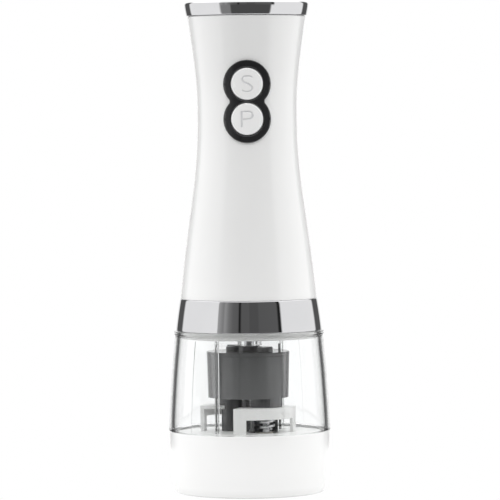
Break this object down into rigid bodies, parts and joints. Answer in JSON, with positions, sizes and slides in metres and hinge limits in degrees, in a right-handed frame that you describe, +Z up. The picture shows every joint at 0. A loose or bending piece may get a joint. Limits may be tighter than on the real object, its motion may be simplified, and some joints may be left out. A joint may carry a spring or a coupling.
{
  "type": "pepper mill",
  "caption": "Battery-powered two-grinder salt and pepper mill: flared white handle with two push buttons, chrome bands, clear divided container and white dust cap.",
  "frame": {"origin": "centre of the dust cap's resting face", "axes": "+Z up along the mill's axis, -Y towards the two buttons"},
  "size_m": [0.0728, 0.0728, 0.22],
  "materials": {
    "white_shell": "glossy",
    "white_inner": "satin",
    "clear_plastic": "clear, polished",
    "smoked_plastic": "glossy, slightly see-through",
    "black_gloss": "glossy",
    "black_plastic": "satin",
    "grey_plastic": "satin",
    "chrome": "polished",
    "steel": "turned",
    "spring_steel": "bright drawn",
    "brass": "turned",
    "gear_nylon": "moulded",
    "grinding_ceramic": "unglazed",
    "motor_zinc": "zinc plated",
    "circuit_board": "lacquered",
    "cell_sleeve": "printed film over steel",
    "lead_red": "soft sleeve"
  },
  "bodies": {
    "cap": {"dust_cap": "white_shell"},
    "mill": {"grinder_base": "white_inner", "container": "clear_plastic", "partition": "clear_plastic", "base_screw": "steel", "splitter_case": "smoked_plastic", "splitter_lid": "smoked_plastic", "feed_hood_salt": "white_inner", "feed_hood_pepper": "white_inner", "burr_ring_salt": "grinding_ceramic", "burr_ring_pepper": "grinding_ceramic"},
    "drive": {"drive_shaft": "gear_nylon", "centre_gear": "gear_nylon"},
    "salt_grinder": {"output_gear_salt": "gear_nylon", "spindle_salt": "steel", "feed_spring_salt": "spring_steel", "burr_cone_salt": "grinding_ceramic"},
    "pepper_grinder": {"output_gear_pepper": "gear_nylon", "spindle_pepper": "steel", "feed_spring_pepper": "spring_steel", "burr_cone_pepper": "grinding_ceramic"},
    "salt_knob": {"adjust_knob_salt": "grey_plastic"},
    "pepper_knob": {"adjust_knob_pepper": "grey_plastic"},
    "handle": {"handle_shell": "white_shell", "handle_band": "chrome", "handle_floor": "white_inner", "floor_screws": "steel", "gear_case": "black_plastic", "gear_case_screws": "steel", "output_bush": "brass", "motor_plate": "steel", "motor_screws": "steel", "motor_can": "motor_zinc", "motor_end_cap": "black_plastic", "motor_leads": "lead_red", "battery_cage": "black_plastic", "battery_cells": "cell_sleeve", "battery_contacts": "spring_steel", "button_surround": "black_gloss", "switch_board": "circuit_board", "switch_bodies": "black_plastic", "board_screws": "steel"},
    "lid": {"lid_plate": "white_inner", "lid_ring": "chrome", "lid_contacts": "brass"},
    "salt_button": {"button_salt": "white_shell"},
    "pepper_button": {"button_pepper": "white_shell"},
    "salt_plunger": {"plunger_salt": "black_plastic"},
    "pepper_plunger": {"plunger_pepper": "black_plastic"},
    "output": {"output_carrier": "steel", "drive_bit": "steel"},
    "low_planet_1": {"planet_low_1": "gear_nylon"},
    "low_planet_2": {"planet_low_2": "gear_nylon"},
    "low_planet_3": {"planet_low_3": "gear_nylon"},
    "middle": {"middle_carrier": "gear_nylon"},
    "high_planet_1": {"planet_high_1": "gear_nylon"},
    "high_planet_2": {"planet_high_2": "gear_nylon"},
    "high_planet_3": {"planet_high_3": "gear_nylon"},
    "rotor": {"motor_pinion": "brass", "motor_shaft": "steel"}
  },
  "joints": [
    {"name": "cap_off", "type": "slide", "parent": "cap", "child": "mill", "axis": [0, 0, 1], "range_m": [0, 0.035]},
    {"name": "handle_off", "type": "slide", "parent": "mill", "child": "handle", "axis": [0, 0, 1], "range_m": [0, 0.03]},
    {"name": "lid_off", "type": "slide", "parent": "handle", "child": "lid", "axis": [0, 0, 1], "range_m": [0, 0.03]},
    {"name": "salt_press", "type": "slide", "parent": "handle", "child": "salt_button", "axis": [0, 1, 0], "range_m": [0, 0.001], "stiffness_N_per_m": 1200, "springref_m": -0.0006},
    {"name": "pepper_press", "type": "slide", "parent": "handle", "child": "pepper_button", "axis": [0, 1, 0], "range_m": [0, 0.001], "stiffness_N_per_m": 1200, "springref_m": -0.0006},
    {"name": "salt_plunger_press", "type": "slide", "parent": "handle", "child": "salt_plunger", "axis": [0, 1, 0], "range_m": [0, 0.001]},
    {"name": "pepper_plunger_press", "type": "slide", "parent": "handle", "child": "pepper_plunger", "axis": [0, 1, 0], "range_m": [0, 0.001]},
    {"name": "output_spin", "type": "hinge", "parent": "handle", "child": "output", "pos_m": [0, 0, 0.07], "axis": [0, 0, 1], "continuous": true},
    {"name": "drive_spin", "type": "hinge", "parent": "mill", "child": "drive", "pos_m": [0, 0, 0.05], "axis": [0, 0, 1], "continuous": true},
    {"name": "salt_spin", "type": "hinge", "parent": "mill", "child": "salt_grinder", "pos_m": [-0.00696, 0.00773, 0.03], "axis": [0, 0, 1], "continuous": true},
    {"name": "pepper_spin", "type": "hinge", "parent": "mill", "child": "pepper_grinder", "pos_m": [0.00696, -0.00773, 0.03], "axis": [0, 0, 1], "continuous": true},
    {"name": "low_planet_1_spin", "type": "hinge", "parent": "output", "child": "low_planet_1", "pos_m": [0.00675, 0, 0.0827], "axis": [0, 0, 1], "continuous": true},
    {"name": "low_planet_2_spin", "type": "hinge", "parent": "output", "child": "low_planet_2", "pos_m": [-0.00337, 0.00585, 0.0827], "axis": [0, 0, 1], "continuous": true},
    {"name": "low_planet_3_spin", "type": "hinge", "parent": "output", "child": "low_planet_3", "pos_m": [-0.00337, -0.00585, 0.0827], "axis": [0, 0, 1], "continuous": true},
    {"name": "middle_spin", "type": "hinge", "parent": "handle", "child": "middle", "pos_m": [0, 0, 0.085], "axis": [0, 0, 1], "continuous": true},
    {"name": "high_planet_1_spin", "type": "hinge", "parent": "middle", "child": "high_planet_1", "pos_m": [0.00675, 0, 0.0909], "axis": [0, 0, 1], "continuous": true},
    {"name": "high_planet_2_spin", "type": "hinge", "parent": "middle", "child": "high_planet_2", "pos_m": [-0.00337, 0.00585, 0.0909], "axis": [0, 0, 1], "continuous": true},
    {"name": "high_planet_3_spin", "type": "hinge", "parent": "middle", "child": "high_planet_3", "pos_m": [-0.00337, -0.00585, 0.0909], "axis": [0, 0, 1], "continuous": true},
    {"name": "motor_spin", "type": "hinge", "parent": "handle", "child": "rotor", "pos_m": [0, 0, 0.11], "axis": [0, 0, 1], "continuous": true},
    {"name": "salt_knob_turn", "type": "hinge", "parent": "salt_grinder", "child": "salt_knob", "pos_m": [-0.00696, 0.00773, 0.01], "axis": [0, 0, 1], "range_deg": [-180, 180]},
    {"name": "pepper_knob_turn", "type": "hinge", "parent": "pepper_grinder", "child": "pepper_knob", "pos_m": [0.00696, -0.00773, 0.01], "axis": [0, 0, 1], "range_deg": [-180, 180]}
  ],
  "couplings": [
    {"joint": "salt_plunger_press", "follows": "salt_press", "ratio": 1},
    {"joint": "pepper_plunger_press", "follows": "pepper_press", "ratio": 1},
    {"joint": "drive_spin", "follows": "output_spin", "ratio": 1},
    {"joint": "salt_spin", "follows": "output_spin", "ratio": -1},
    {"joint": "pepper_spin", "follows": "output_spin", "ratio": -1},
    {"joint": "low_planet_1_spin", "follows": "output_spin", "ratio": -2.8},
    {"joint": "low_planet_2_spin", "follows": "output_spin", "ratio": -2.8},
    {"joint": "low_planet_3_spin", "follows": "output_spin", "ratio": -2.8},
    {"joint": "middle_spin", "follows": "output_spin", "ratio": 4.5},
    {"joint": "high_planet_1_spin", "follows": "output_spin", "ratio": -12.6},
    {"joint": "high_planet_2_spin", "follows": "output_spin", "ratio": -12.6},
    {"joint": "high_planet_3_spin", "follows": "output_spin", "ratio": -12.6},
    {"joint": "motor_spin", "follows": "output_spin", "ratio": 20.25}
  ]
}
